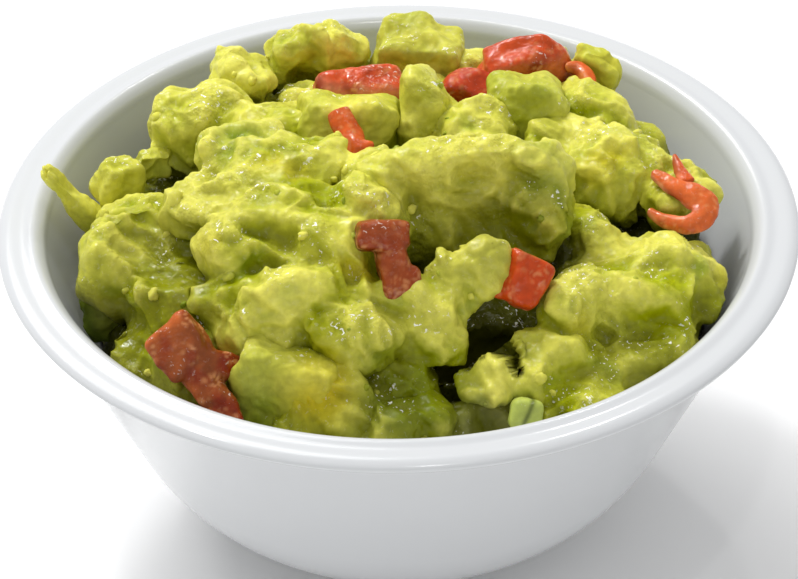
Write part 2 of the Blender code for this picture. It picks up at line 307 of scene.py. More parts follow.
def through(points, per_span):
    """A Catmull-Rom curve: a cubic on each span, with the neighbours' slopes."""
    p = np.array([points[0], *points, points[-1]], float)
    t = (np.arange(per_span) / per_span)[None, :, None]
    a, b, c, d = (p[i : len(p) - 3 + i, None, :] for i in range(4))
    curve = 2 * b + (c - a) * t + (2 * a - 5 * b + 4 * c - d) * t**2
    curve = 0.5 * (curve + (3 * b - a - 3 * c + d) * t**3)
    return np.concatenate([curve.reshape(-1, p.shape[1]), p[-1:]])


edge = float(inside_radius(HEIGHT - 3.0))
rim = through(
    [
        (edge, HEIGHT - 3.0),
        (edge + 0.8, HEIGHT - 1.3),
        (edge + 2.4, HEIGHT),
        (edge + 4.4, HEIGHT - 0.35),
        (RIM_RADIUS - 1.5, HEIGHT - 0.5),
        (RIM_RADIUS, HEIGHT - LIP_THICKNESS * 0.55),
        (RIM_RADIUS - 1.1, wall_z),
        (wall_r + 0.6, wall_z - 0.5),
        (wall_r - 0.9, wall_z - 2.2),
    ],
    8,
)
foot_angle = math.asin((FOOT_RADIUS - FILLET_R) / BASE_FILLET)
outer = arc(BASE_FILLET, WALL_ANGLE, foot_angle, 40)
foot = through(
    [
        outer[-1],
        (FOOT_RADIUS - 0.3, outer[-1][1] * 0.3),
        (FOOT_RADIUS - 0.8, 0.0),
        (FOOT_RADIUS - 2.5, 0.0),
    ],
    4,
)
floor_arc = arc(INNER_FILLET, 0.02, WALL_ANGLE, 40)
profile = np.concatenate([floor_arc, rim, outer, foot[1:]])
profile[:, 1] = np.maximum(profile[:, 1], 0.0)  # the curve dips a hair at the foot

# %% Turn the bowl
BOWL_SPOKES = 256
turn_angle = np.arange(BOWL_SPOKES) * 2 * math.pi / BOWL_SPOKES
bowl_rings = np.stack(
    [
        profile[:, :1] * np.cos(turn_angle),
        profile[:, :1] * np.sin(turn_angle),
        np.repeat(profile[:, 1:], BOWL_SPOKES, 1),
    ],
    -1,
)
bowl_points = np.concatenate(
    [bowl_rings.reshape(-1, 3), [(0, 0, floor_arc[0, 1]), (0, 0, 0)]]
)
bowl_faces = outward(bowl_points, globe_faces(len(profile), BOWL_SPOKES))

# %% [markdown]
# Glazed porcelain is a white body under a clear glass skin. The eye sees an
# even, slightly cool white, a hard thin gloss, and a skin that is never quite
# flat, so that reflections waver. The waver is a centimetre across and
# shallow: a bump from a wide noise gives it.

# %% Glazed porcelain
porcelain, tree, shader = new_material("glazed_porcelain")
coords = add(tree, "TexCoord").outputs["Object"]
waver = add(tree, "TexNoise", {"Vector": coords, "Scale": 90.0, "Detail": 1.0})
bump = add(
    tree,
    "Bump",
    {"Height": waver.outputs["Fac"], "Strength": 0.05, "Distance": 0.0006},
)
tree.links.new(bump.outputs["Normal"], shader.inputs["Normal"])
set_shader(
    shader,
    Base_Color=rgba("#D0D2D4"),
    Roughness=0.16,
    IOR=1.5,
    Specular_IOR_Level=0.4,
)
put("porcelain_bowl", bowl_points, bowl_faces, porcelain, ["bowl"])

# %% [markdown]
# ## A lump
#
# A lump of avocado is a stone with its edges rubbed off. Flat faces, each at
# its own slant, cut a ball, and a high power melts them together: the higher it
# is, the crisper the edges. Six square faces give a diced cube, and extra
# slanted ones give a broken chunk. Pinch, taper and bend then shape its length.

# %% The lump function
def turned(points, degrees):
    """Turns points about X, then Y, then Z."""
    for axis, angle in enumerate(np.radians(degrees)):
        c, s = math.cos(angle), math.sin(angle)
        i, j = [(1, 2), (2, 0), (0, 1)][axis]
        points = points.copy()
        points[:, i], points[:, j] = (
            c * points[:, i] - s * points[:, j],
            s * points[:, i] + c * points[:, j],
        )
    return points


def lump(at, half, turn=(0, 0, 0), box=4.0, facets=0, uneven=0.07, seed=0,
         pinch=0.0, taper=0.0, bend=0.0, rings=40, spokes=80):
    """A direction's radius is (sum of max(0, direction . face)^box)^(-1/box),
    over six square faces and the extra slanted ones. at is (x, y, mm above the
    rim), half the half sizes. Returns points, faces and the unit shape."""
    draw = np.random.default_rng(1000 + seed)
    slant = draw.normal(size=(facets, 3))
    slant /= np.linalg.norm(slant, axis=1, keepdims=True)
    slant *= draw.uniform(0.85, 1.12, size=(facets, 1))
    cuts = np.concatenate([np.eye(3), -np.eye(3), slant])
    down = (np.arange(rings) + 1) * math.pi / (rings + 1)
    round_ = np.arange(spokes) * 2 * math.pi / spokes
    d, r = np.meshgrid(down, round_, indexing="ij")
    way = np.stack([np.sin(d) * np.cos(r), np.sin(d) * np.sin(r), np.cos(d)], -1)
    way = np.concatenate([way.reshape(-1, 3), [(0, 0, 1), (0, 0, -1)]])
    reach = (np.maximum(way @ cuts.T, 0.0) ** box).sum(axis=1) ** (-1.0 / box)
    unit = way * reach[:, None] * (1.0 + 0.009 * facets)
    unit *= 1.0 + uneven * swell(unit + 9.0 * seed, 0.8, seed)[:, None]
    z = unit[:, 2]
    narrow = (1.0 - pinch * (1.0 - z**2)) * (1.0 - taper * (z + 1.0) / 2.0)
    points = unit * half
    points[:, :2] *= narrow[:, None]
    if bend:
        angle, out = points[:, 2] / bend, bend + points[:, 0]
        points[:, 0] = out * np.cos(angle) - bend
        points[:, 2] = out * np.sin(angle)
    points = turned(points, turn) + (at[0], at[1], HEIGHT + at[2])
    return points, outward(points, globe_faces(rings, spokes)), unit


def strip(path, widths, thickness, facing=(0.0, -0.6, 0.8), spokes=36):
    """A torn strip: an ellipse carried along a smooth path. Its wide axis lies
    across the path, square to the way the strip faces, and its thin axis is
    square to both. Widths are half widths along the path. The ends are cut."""
    line = through(path, 8)
    half = through([(width, thickness) for width in widths], 8)
    along = np.gradient(line, axis=0)
    across = np.cross(facing, along)
    across /= np.linalg.norm(across, axis=1, keepdims=True)
    up = np.cross(along, across)
    up /= np.linalg.norm(up, axis=1, keepdims=True)
    angle = (np.arange(spokes) * 2 * math.pi / spokes)[None, :, None]
    rings = line[:, None] + half[:, None, :1] * np.cos(angle) * across[:, None]
    rings = rings + half[:, None, 1:] * np.sin(angle) * up[:, None]
    points = np.concatenate([rings.reshape(-1, 3), line[:1], line[-1:]])
    points = points + (0, 0, HEIGHT)
    return points, outward(points, globe_faces(len(line), spokes))


def keep_inside(points, margin):
    """Draws points in to the bowl's inner face, less the margin."""
    points = points.copy()
    points[:, 2] = np.maximum(points[:, 2], WALL + margin)
    most = np.maximum(inside_radius(points[:, 2]) - margin, 0.0)
    r = np.hypot(points[:, 0], points[:, 1])
    points[:, :2] *= np.where(r > most, most / np.maximum(r, 1e-9), 1.0)[:, None]
    return points


# %% [markdown]
# ## The mash
#
# A spoonful of mash is several lumps that have begun to run together. Each
# group below is one spoonful: its lumps pass through each other, a voxel
# Remesh makes them one skin, and smoothing melts the creases between them. The
# groups stay apart, because on the real dip dark clefts run between them.

# %% Where the lumps are: place, half sizes, turn
SPOONFULS = {
    "left": [
        ((-44, -4, -1), (8.0, 6.5, 6.0), (0, 0, 10)),
        ((-42.5, -16, -1), (10.5, 8.0, 8.5), (-12, 14, 20)),
        ((-40, -31, -9), (8.5, 7.0, 9.0), (-20, 0, 30)),
        ((-37, -24, -4), (9.0, 8.0, 9.0), (-15, 10, 20)),
        ((-33, -37, -9), (6.5, 5.0, 9.0), (-25, 0, 20)),
    ],
    "back_left": [
        ((-34, 21, 2.5), (9.0, 7.0, 7.5), (0, 0, 12)),
        ((-28, 33, 3.5), (6.0, 5.5, 7.0), (0, 0, 0)),
        ((-22, 14, 4), (9.0, 8.0, 7.0), (0, 0, 0)),
    ],
    "back": [
        ((-17, 40, 4.5), (5.0, 5.0, 8.5), (0, -8, 0)),
        ((-9.5, 42, 3), (5.5, 4.5, 7.0), (0, 15, 0)),
        ((16, 38, 0), (8.0, 6.0, 6.5), (0, 0, 0)),
        ((24, 38, 2.5), (8.5, 4.5, 6.0), (0, 0, 8)),
        ((35, 22, 1), (8.0, 7.0, 7.0), (0, 0, -20)),
    ],
    "crown": [
        ((5, 14, 9.5), (4.2, 5.0, 8.5), (-20, -10, 0)),
        ((13, 9, 7), (7.0, 7.0, 7.0), (0, 0, 0)),
        ((13.0, -11.5, 8.5), (15.2, 7.0, 13.4), (-22, 2, -4), {"taper": -0.18, "box": 3.2}),
        ((27.0, -11.5, 12.0), (3.0, 2.6, 6.0), (-33, 26, 0)),
        ((24.5, -16.0, 6.5), (2.6, 2.4, 6.0), (-33, 24, 0)),
        ((25.8, -9.8, 15.0), (4.4, 3.8, 4.0), (-18, 30, -14), {"box": 6.0}),
        ((-1, -12, 9), (7.0, 7.0, 8.5), (-20, -14, 10)),
    ],
    "centre_left": [
        ((-27, 1, 8), (8.0, 7.0, 6.5), (0, 0, 20)),
        ((-16, -4, 10), (7.5, 6.5, 6.5), (0, 0, 0)),
        ((-32, -10, 5), (7.0, 6.5, 7.0), (0, 0, 0)),
        ((-17, -16, 9), (8.5, 7.0, 6.5), (0, 10, 0)),
        ((-6, -17, 10), (6.5, 6.0, 6.0), (0, 0, 0)),
        ((-28, -29, 0), (7.0, 7.0, 7.5), (-20, 0, 0)),
        ((-17, -31, 3), (9.0, 7.0, 7.5), (-20, 0, 0)),
        ((-7, -36, 0), (8.5, 6.5, 6.0), (-25, 0, 12)),
        ((-12, -24, 6), (8.5, 7.5, 7.5), (-25, 0, 0)),
        ((-25, -20, 5), (8.5, 8.0, 8.0), (-20, 0, 15)),
        ((-24, -8, 8), (8.0, 8.0, 7.0), (0, 0, 0)),
        ((-20, -34, 1), (8.0, 6.0, 6.0), (-25, 0, 0)),
        ((-4, -7, 8), (7.0, 6.0, 6.5), (0, 0, 20)),
        ((-4, -31, 0.5), (7.0, 5.5, 6.5), (-25, 0, 0)),
    ],
    "front_low": [
        ((-13, -43.5, -8), (8.5, 6.0, 8.0), (-20, 0, 0)),
        ((-6, -44, -12), (5.5, 5.0, 6.0), (0, 0, 0)),
        ((1, -40, -9), (7.0, 6.0, 6.0), (0, 0, 10)),
    ],
    "front": [
        ((9, -29.5, 6.2), (9.2, 4.2, 4.8), (-10, -38, 22)),
        ((3.5, -33, 1), (6.5, 4.8, 6.0), (-15, 0, 0)),
        ((7, -36, -2), (4.2, 3.4, 4.6), (0, 0, 0)),
        ((1, -45, -13), (9.0, 7.0, 6.0), (0, 0, 0)),
    ],
    "right": [
        ((43, 6, 2), (11.0, 7.5, 6.0), (0, 8, -20)),
        ((50, 1, 1), (5.0, 6.0, 5.6), (0, 10, 0)),
        ((40, -18, -3), (13.0, 7.5, 7.0), (-10, 6, 12)),
        ((48, -21, -3), (6.5, 5.0, 5.0), (0, 6, 0)),
        ((30, -28, -3), (6.0, 7.0, 7.5), (-20, 0, 0)),
        ((41, -32, -10), (11.0, 7.5, 7.5), (-20, 0, 20)),
        ((18, -41, -6), (8.5, 4.6, 4.4), (0, -10, 12)),
        ((30, -42, -12), (8.0, 7.0, 6.5), (0, 0, 10)),
        ((38, -25, -5), (13.0, 8.0, 8.0), (-20, 4, 14)),
        ((27, -35, -7), (7.5, 6.5, 7.0), (-20, 0, 10)),
        ((34, 4, 2), (8.0, 7.0, 7.0), (0, 0, 0)),
        ((31, 12, 3), (8.0, 7.0, 6.5), (0, 0, 0)),
        ((33, -10, -1), (10.0, 5.0, 5.5), (-20, 12, -25)),
        ((49, -15, -3.5), (6.5, 6.0, 5.0), (-10, 6, 0)),
    ],
}
CLEARANCE = 0.5  # between the mash and the bowl's wall
SCOOPS = {  # middle of the hollow, the way it faces, the ball's radius, depth
    "crown": [((14, -18, 11), (0.05, -0.9, 0.42), 24.0, 3.2)],
    "left": [((-41, -15, 6), (0.1, -0.35, 0.93), 13.0, 3.0)],
    "right": [
        ((14, -35, -7), (-0.3, -0.75, 0.6), 8.0, 3.0),
        ((41, -6, -1), (-0.2, -0.7, 0.6), 7.0, 3.5),
    ],
    "body": [
        ((16, -34, -11), (0.0, -0.7, 0.7), 9.0, 6.0),
        ((9, -43, -13), (0.0, -0.7, 0.7), 6.0, 4.5),
        ((-46, -30, -14), (0.0, -0.5, 0.8), 7.0, 4.0),
    ],
}
# Painted shade: the body under the spoonfuls, seen in the clefts, is mixed towards the deep shade
# colour all over.
PAINTED_SHADE_SHARES = {"body": 0.25}  # share of the deep colour all over
RELIEF = {"crown": 0.85, "left": 0.8, "front": 0.85}
KNOBS = {  # to a lump
    "left": 2, "back_left": 4, "back": 3, "crown": 3, "centre_left": 5, "front": 2, "right": 4,
    "front_low": 3,
}


# %% One skin over several lumps
def warped(points, size, depth):
    """Bends a shape out of true: each coordinate is pushed by its own noise."""
    push = np.stack([swell(points, size, 20 + i) for i in range(3)], 1)
    return points + depth * push


def one_skin(shells, voxel, melt, coarse=0.8, bent=1.8):
    """Lumps that pass through each other made one skin. A remesh on
    coarse cubes is smoothed melt times, which fills the creases with creamy
    fillets. A second, on cubes of voxel mm, gives points for the relief."""
    offsets = np.cumsum([0] + [len(p) for p, f in shells[:-1]])
    points = warped(np.concatenate([p for p, f in shells]), 11.0, bent)
    points = keep_inside(points, CLEARANCE)
    faces = np.concatenate([f + o for (p, f), o in zip(shells, offsets)])
    draft = bpy.data.objects.new("draft", mesh_from("draft", points, faces))
    bpy.context.scene.collection.objects.link(draft)
    for size, times in ((coarse, melt), (voxel, 1)):
        remesh = draft.modifiers.new("One skin", "REMESH")
        remesh.mode = "VOXEL"
        remesh.voxel_size = size * MM
        smooth = draft.modifiers.new("Soften", "SMOOTH")
        smooth.factor, smooth.iterations = 0.5, times
    graph = bpy.context.evaluated_depsgraph_get()
    skin = draft.evaluated_get(graph).to_mesh()
    skin.calc_loop_triangles()
    found = np.empty(len(skin.vertices) * 3, np.float32)
    skin.vertices.foreach_get("co", found)
    corners = np.empty(len(skin.loop_triangles) * 3, np.int32)
    skin.loop_triangles.foreach_get("vertices", corners)
    draft_mesh = draft.data
    bpy.data.objects.remove(draft, do_unlink=True)
    bpy.data.meshes.remove(draft_mesh)
    return found.reshape(-1, 3).astype(float) / MM, corners.reshape(-1, 3)


# %% [markdown]
# The relief is what makes it mash. Three sizes of it are laid along the
# normals: soft ridges a centimetre apart where the fork dragged, curds of a few
# millimetres, and a fine grain under a millimetre deep.

# %% Relief on the mash
FORK_WAY = np.array([0.61, -0.51, -0.61])


def relief(points):
    """How far, in mm, each point is lifted by ridges, curds and grain. A ridge
    is one minus the noise's size, so it is sharp on top and broad between. The
    noise is read at places already warped, which draws its hills into folds, and
    squeezed along the fork's way, which draws them out that way."""
    drawn = warped(points, 8.0, 2.2)
    drawn = drawn - 0.45 * (drawn @ FORK_WAY)[:, None] * FORK_WAY
    lift = 2.3 * (0.3 - np.abs(swell(drawn, 7.4, 1)))
    lift += 1.4 * (0.25 - np.abs(swell(drawn, 3.9, 2)))
    lift += 0.8 * (curds(drawn, 3.8, 3) - 0.6)
    lift += 0.5 * (0.25 - np.abs(swell(drawn, 2.0, 4)))
    return lift + 0.1 * swell(points, 1.2, 15)


def scooped(points, scoops):
    """A spoon's hollow: where a point lies over the far side of a ball, it is
    pressed back along the ball's axis until it meets that side. A scoop is the
    middle of the hollow, the way it faces, the ball's radius and its depth."""
    points = points.copy()
    for middle, way, radius, depth in scoops:
        axis = np.array(way, float) / np.linalg.norm(way)
        centre = np.array(middle) + (0, 0, HEIGHT) + axis * (radius - depth)
        away = points - centre
        along = away @ axis
        across = np.maximum((away**2).sum(axis=1) - along**2, 0.0)
        wall = -np.sqrt(np.maximum(radius**2 - across, 0.0))
        near = (across < radius**2) & (along < 0.2 * radius) & (along > wall)
        points[near] += (wall[near] - along[near])[:, None] * axis
    return points


def knobs(points, count, small, large, seed):
    """Small broken bits stuck to a lump, at points drawn from its surface."""
    draw = np.random.default_rng(seed)
    bits = []
    for i, spot in enumerate(draw.choice(len(points), count, replace=False)):
        half = draw.uniform(small, large) * draw.uniform(0.75, 1.2, 3)
        x, y, z = points[spot] + 0.25 * (points.mean(axis=0) - points[spot])
        bits.append(
            lump((x, y, z - HEIGHT), half, draw.uniform(-60, 60, 3), box=4.5,
                 facets=7, uneven=0.2, seed=seed * 10 + i, rings=14, spokes=28)[:2]
        )
    return bits


# %% Make the spoonfuls' skins
VOXEL = 0.42
SKINS = {}  # group to its points, its faces and how far its relief lifts each point


def mash_skin(group, points, faces):
    """Scoops the skin, then lays the relief along its normals."""
    points = scooped(points, SCOOPS.get(group, []))
    lift = relief(points) * RELIEF.get(group, 1.0)
    points = keep_inside(points + lift[:, None] * normals_of(points, faces), CLEARANCE)
    SKINS[group] = points, faces, lift


seed = 0
for group, lumps in SPOONFULS.items():
    shells = []
    for at, half, turn, *shape in lumps:
        seed += 1
        points, faces, unit = lump(
            at, half, turn, facets=9, uneven=0.16, seed=seed, **{"box": 4.5, **dict(*shape)}
        )
        shells.append((points, faces))
        shells.extend(knobs(points, KNOBS[group], 1.3, 3.1, 500 + seed))
    mash_skin(group, *one_skin(shells, VOXEL, 2))
print(sum(len(faces) for points, faces, lift in SKINS.values()), "triangles of spoonfuls")

# %% [markdown]
# Under the spoonfuls the bowl is full. That body is a turned shape too, with
# the bowl's own inside for its wall, a low dome on top, and rings of smaller
# lumps standing on it that fill the clefts.

# %% The body of the mash
SHOULDER = HEIGHT - 17.0
DOME_RISE = 20.0
FILLER_RINGS = [(45.5, -10.0, 17, 7.4), (30.0, -1.0, 11, 7.2)]
FRONT_DROP = 13.0

wall_heights = np.linspace(WALL + 1.0, SHOULDER, 30)
wall_line = np.stack([inside_radius(wall_heights) - CLEARANCE, wall_heights], 1)
bend_over = np.linspace(0.0, math.pi / 2, 50)[1:-1]
dome_line = np.stack(
    [wall_line[-1, 0] * np.cos(bend_over), SHOULDER + DOME_RISE * np.sin(bend_over) ** 2], 1
)
body_line = np.concatenate([wall_line, dome_line])
BODY_SPOKES = 180
turn_angle = np.arange(BODY_SPOKES) * 2 * math.pi / BODY_SPOKES
body_rings = np.stack(
    [
        body_line[:, :1] * np.cos(turn_angle),
        body_line[:, :1] * np.sin(turn_angle),
        np.repeat(body_line[:, 1:], BODY_SPOKES, 1),
    ],
    -1,
)
body_points = np.concatenate(
    [body_rings.reshape(-1, 3), [(0, 0, WALL + 1.0), (0, 0, SHOULDER + DOME_RISE)]]
)
body_faces = outward(body_points, globe_faces(len(body_line), BODY_SPOKES))
shells = [(body_points, body_faces)]
for ring, (radius, height, count, half) in enumerate(FILLER_RINGS):
    for i in range(count):
        angle = 2.0 * math.pi * (i + 0.5) / count
        sway = swell(np.array([[radius * 0.37 + 0.4, i * 2.3 + 0.7, k] for k in (1.7, 5.2, 9.6)]), 1.0)
        size = half * (1.0 + 0.35 * sway[1])
        front = FRONT_DROP * max(0.0, -math.sin(angle))
        r = radius + 2.5 * sway[0]
        points, faces, unit = lump(
            (r * math.cos(angle), r * math.sin(angle), height - front + 3.0 * sway[2]),
            (size * 1.1, size, size * 0.95),
            (20.0 * sway[0], 20.0 * sway[1], math.degrees(angle)),
            box=4.5, facets=9, uneven=0.16, seed=100 + 40 * ring + i,
        )
        shells.append((points, faces))
mash_skin("body", *one_skin(shells, 0.75, 3))

# %% [markdown]
# Low places between lumps get less light than the high ones, and that shade is
# painted into the colour: darker and greener low down, paler on top. To know
# which is which, the heap's top is written down as a map of heights, one number
# to each square millimetre. The map is blurred, and a point's hollow is how far
# it lies below the blurred surface.

# %% How hollow a place is
MAP_HALF = 80  # mm from the middle to the map's edge


def map_cells(points):
    cells = np.round(points[:, :2]).astype(int) + MAP_HALF
    return np.clip(cells, 0, 2 * MAP_HALF - 1).T


def blurred(field, spread):
    """A Gaussian blur: the map's waves, each times e^(-2 (pi spread f)^2)."""
    wave = np.fft.fftfreq(len(field))
    keep = np.exp(-2.0 * (math.pi * spread * wave) ** 2)
    return np.fft.ifft2(np.fft.fft2(field) * keep[:, None] * keep).real


heights = np.zeros((2 * MAP_HALF, 2 * MAP_HALF))
for points, faces, lift in SKINS.values():
    np.maximum.at(heights, tuple(map_cells(points)), points[:, 2])
heaped = (heights > 0).astype(float)
LEVELS = [
    blurred(heights, spread) / np.maximum(blurred(heaped, spread), 0.05)
    for spread in (3.5, 8.0)
]


def hollow(points):
    """Mm below the heap's blurred surface: the mean of a near and a wide blur."""
    x, y = map_cells(points)
    return sum(level[x, y] for level in LEVELS) / 2.0 - points[:, 2]


print(f"the heap's top is {heights.max() - HEIGHT:.1f} mm above the rim")

# %% [markdown]
# ## The mash's colours
#
# Ripe avocado goes from green near the skin to butter yellow at the stone, and
# mashing leaves streaks of both. Each point takes a mix of a pale and a full
# yellow-green by wide noise, then green where another noise is high, then the
# few patches that stand out. What lies deep between lumps is painted darker, as
# shade, and ridges and tops paler, as highlight.

# %% Colours by place
FLESH, CREAM = linear("#A2A900"), linear("#E6E064")
GREEN, BUTTER = linear("#6C8616"), linear("#D2BC0C")
# Olive and deep are painted shade colours, and the cleft colour below is painted shade too.
OLIVE_SHADE, DEEP_SHADE = linear("#7C7F00"), linear("#46480A")
CLEFT_SHADE = linear("#6C6D60")  # what lies in a cleft, with no light on it
# Green and butter patches are the flesh's own colour; the olive, deep and cleft patches are painted
# shade on shaded faces and in clefts.
PATCHES = [  # centre, radius, colour, strength
    ((-28, 2, 14), 6.0, GREEN, 0.8),
    ((27, -14, 16), 7.0, GREEN, 0.6),
    ((14, -14, 16), 7.0, BUTTER, 0.4),
    ((-22, -43, -4), 6.0, GREEN, 0.7),
    ((-8, -42, -6), 14.0, OLIVE_SHADE, 0.75),
    ((-39, -22, 1), 17.0, OLIVE_SHADE, 0.75),
    ((42, -40, -6), 10.0, OLIVE_SHADE, 0.4),
    ((15, -22, 10), 12.0, OLIVE_SHADE, 0.6),
    ((22, -19, 12), 7.0, GREEN, 0.5),
    ((0, -46, -5), 7.0, GREEN, 0.8),
    ((2, -49, -12), 9.0, DEEP_SHADE, 0.45),
    ((14, -48, -12), 5.0, CLEFT_SHADE, 0.9),
    ((16, -30, -9), 6.5, CLEFT_SHADE, 0.9),
    ((-39, 13, -4), 4.5, CLEFT_SHADE, 0.85),
    ((-53, -22, -14), 7.0, CLEFT_SHADE, 0.7),
    ((40, 0, -4), 4.0, OLIVE_SHADE, 0.8),
    ((43, -6, 2), 6.0, OLIVE_SHADE, 0.4),
    ((17, -21, 8), 12.0, OLIVE_SHADE, 0.6),
    ((20, -21, 9), 10.0, DEEP_SHADE, 0.4),
    ((-40, -22, -2), 13.0, DEEP_SHADE, 0.22),
    ((-30, 28, 9), 13.0, CREAM, 0.5),
    ((4, 41, 6), 9.0, OLIVE_SHADE, 0.65),
    ((-26, -47, -8), 7.0, GREEN, 0.8),
    ((-14, -47, -3), 5.5, BUTTER, 1.0),
]


def mixed(a, b, share):
    return a + (b - a) * np.clip(share, 0.0, 1.0)[:, None]


def mash_tint(points, lift=0.0, depth=0.0):
    """Wide noise mixes the two fleshes, then green streaks, patches and a share of
    the deep shade colour. Painted shade darkens what lies low in the heap and
    what the relief left low, and painted highlight makes ridges and high places
    paler."""
    tint = mixed(np.tile(FLESH, (len(points), 1)), CREAM, 0.3 + 0.8 * swell(points, 11.0, 5))
    tint = mixed(tint, GREEN, 1.6 * (swell(points * (1.0, 1.0, 1.6), 8.0, 6) - 0.35))
    tint = mixed(tint, BUTTER, 1.5 * (swell(points, 13.0, 7) - 0.45))
    for centre, radius, colour, strength in PATCHES:
        away = ((points - (centre[0], centre[1], HEIGHT + centre[2])) ** 2).sum(axis=1)
        tint = mixed(tint, colour, strength * np.exp(-away / radius**2))
    # Painted shade and highlight: low places go towards olive and the deep shade colour, ridges and
    # high places towards cream.
    low = hollow(points)
    tint = mixed(tint, OLIVE_SHADE, 0.13 * low - 0.35 * lift)
    tint = mixed(tint, CREAM, 0.4 * lift - 0.13 * np.maximum(low, -3.0))
    return mixed(tint, DEEP_SHADE, depth + 0.11 * (low - 2.5))


# %% [markdown]
# Mashed avocado is a wet paste of fat and water. Light goes a little way in and
# comes back warmer, so thin edges glow. A film of oil and juice covers it,
# which the coat gives: small hard glints that break up on every pimple. The
# pimples are half a millimetre to a millimetre across.

# %% Wet avocado
SPECK_SIZE = 0.75  # mm


def wet_flesh(name, bump_size, bump_depth, roughness, coat, glint_strength=1.0):
    """Tint from the mesh, speckled finely, with pale glints painted into the colour; bump_size and
    bump_depth in mm.
    """
    look, tree, shader = new_material(name)
    coords = add(tree, "TexCoord").outputs["Object"]
    tint = add(tree, "Attribute", attribute_name="tint").outputs["Color"]
    speckle = add(
        tree, "TexNoise", {"Vector": coords, "Scale": 1.0 / (1.6 * MM), "Detail": 3.0}
    )
    shade = add(
        tree,
        "MapRange",
        {"Value": speckle.outputs["Fac"], "From Min": 0.3, "From Max": 0.7,
         "To Min": 0.84, "To Max": 1.12},
    )
    colour = add(
        tree,
        "VectorMath",
        {0: tint, "Scale": shade.outputs["Result"]},
        operation="SCALE",
    )
    pimples = add(
        tree,
        "TexNoise",
        {"Vector": coords, "Scale": 1.0 / (bump_size * MM), "Detail": 3.5},
    )
    clusters = add(
        tree, "TexNoise", {"Vector": coords, "Scale": 1.0 / (7.0 * MM), "Detail": 1.0}
    )
    where = add(
        tree,
        "MapRange",
        {"Value": clusters.outputs["Fac"], "From Min": 0.42, "From Max": 0.62,
         "To Min": 0.15, "To Max": 1.0},
    )
    height = add(
        tree,
        "Math",
        {0: pimples.outputs["Fac"], 1: where.outputs["Result"]},
        operation="MULTIPLY",
    )
    # Painted highlight: the oil's glints, as pale specks mixed into the base colour
    # on upward faces, a few tenths of a millimetre wide and in clusters. Real ones
    # are finer; these are as fine as the render shows.
    speck = add(
        tree,
        "TexNoise",
        {"Vector": coords, "Scale": 1.0 / (SPECK_SIZE * MM), "Detail": 1.5, "Distortion": 0.8},
    )
    dot = add(
        tree,
        "MapRange",
        {"Value": speck.outputs["Fac"], "From Min": 0.64, "From Max": 0.68},
    )
    crowd = add(
        tree,
        "MapRange",
        {"Value": clusters.outputs["Fac"], "From Min": 0.54, "From Max": 0.62,
         "To Min": 0.1 * glint_strength, "To Max": glint_strength},
    )
    upward = add(
        tree,
        "SeparateXYZ",
        {"Vector": add(tree, "TexCoord").outputs["Normal"]},
    )
    lying = add(
        tree, "MapRange", {"Value": upward.outputs["Z"], "From Min": 0.3, "From Max": 0.75}
    )
    dots = add(
        tree, "Math", {0: dot.outputs["Result"], 1: crowd.outputs["Result"]}, operation="MULTIPLY"
    )
    share = add(
        tree, "Math", {0: dots.outputs["Value"], 1: lying.outputs["Result"]}, operation="MULTIPLY"
    )
    # Painted highlight: the glint specks mixed into the base colour.
    with_painted_glints = add(
        tree,
        "Mix",
        {"Factor": share.outputs["Value"], "A": colour.outputs["Vector"],
         "B": (1.0, 1.0, 0.92, 1.0)},
        data_type="RGBA",
    )
    tree.links.new(with_painted_glints.outputs["Result"], shader.inputs["Base Color"])
    bump = add(
        tree,
        "Bump",
        {"Height": height.outputs["Value"], "Strength": 1.0, "Distance": bump_depth * MM},
    )
    tree.links.new(bump.outputs["Normal"], shader.inputs["Normal"])
    beads = add(
        tree, "TexNoise", {"Vector": coords, "Scale": 1.0 / (0.75 * MM), "Detail": 1.0}
    )
    bead_height = add(
        tree,
        "Math",
        {0: beads.outputs["Fac"], 1: where.outputs["Result"]},
        operation="MULTIPLY",
    )
    film = add(
        tree,
        "Bump",
        {"Height": bead_height.outputs["Value"], "Normal": bump.outputs["Normal"],
         "Strength": 1.0, "Distance": 0.5 * MM},
    )
    tree.links.new(film.outputs["Normal"], shader.inputs["Coat Normal"])
    set_shader(
        shader,
        Roughness=roughness,
        IOR=1.42,
        Specular_IOR_Level=0.05,
        Subsurface_Weight=0.1,
        Subsurface_Radius=(1.0, 0.8, 0.25),
        Subsurface_Scale=0.0016,
        Coat_Weight=coat,
        Coat_Roughness=0.05,
    )
    return look


mashed_avocado = wet_flesh("mashed_avocado_wet", 0.8, 0.42, 0.6, 0.33)

# %% Lay the mash in the bowl
SPOTS = []  # places on top of the mash, for the crumbs
for group, (points, faces, lift) in SKINS.items():
    put(
        "mash_" + group, points, faces, mashed_avocado,
        ["guacamole"], mash_tint(points, lift, PAINTED_SHADE_SHARES.get(group, 0.0)),
    )
    if group != "body":
        SPOTS.append(points[normals_of(points, faces)[:, 2] > 0.35][::7])

# %% [markdown]
# ## Pieces that keep their cut shape
#
# Avocado cut into cubes is firmer than the mash, smoother, and paler at its
# heart. Tomato dice have a glossy skin on one side and wet flesh on the others.
# Each one is a lump with only square faces, at its CAD piece's place and size.

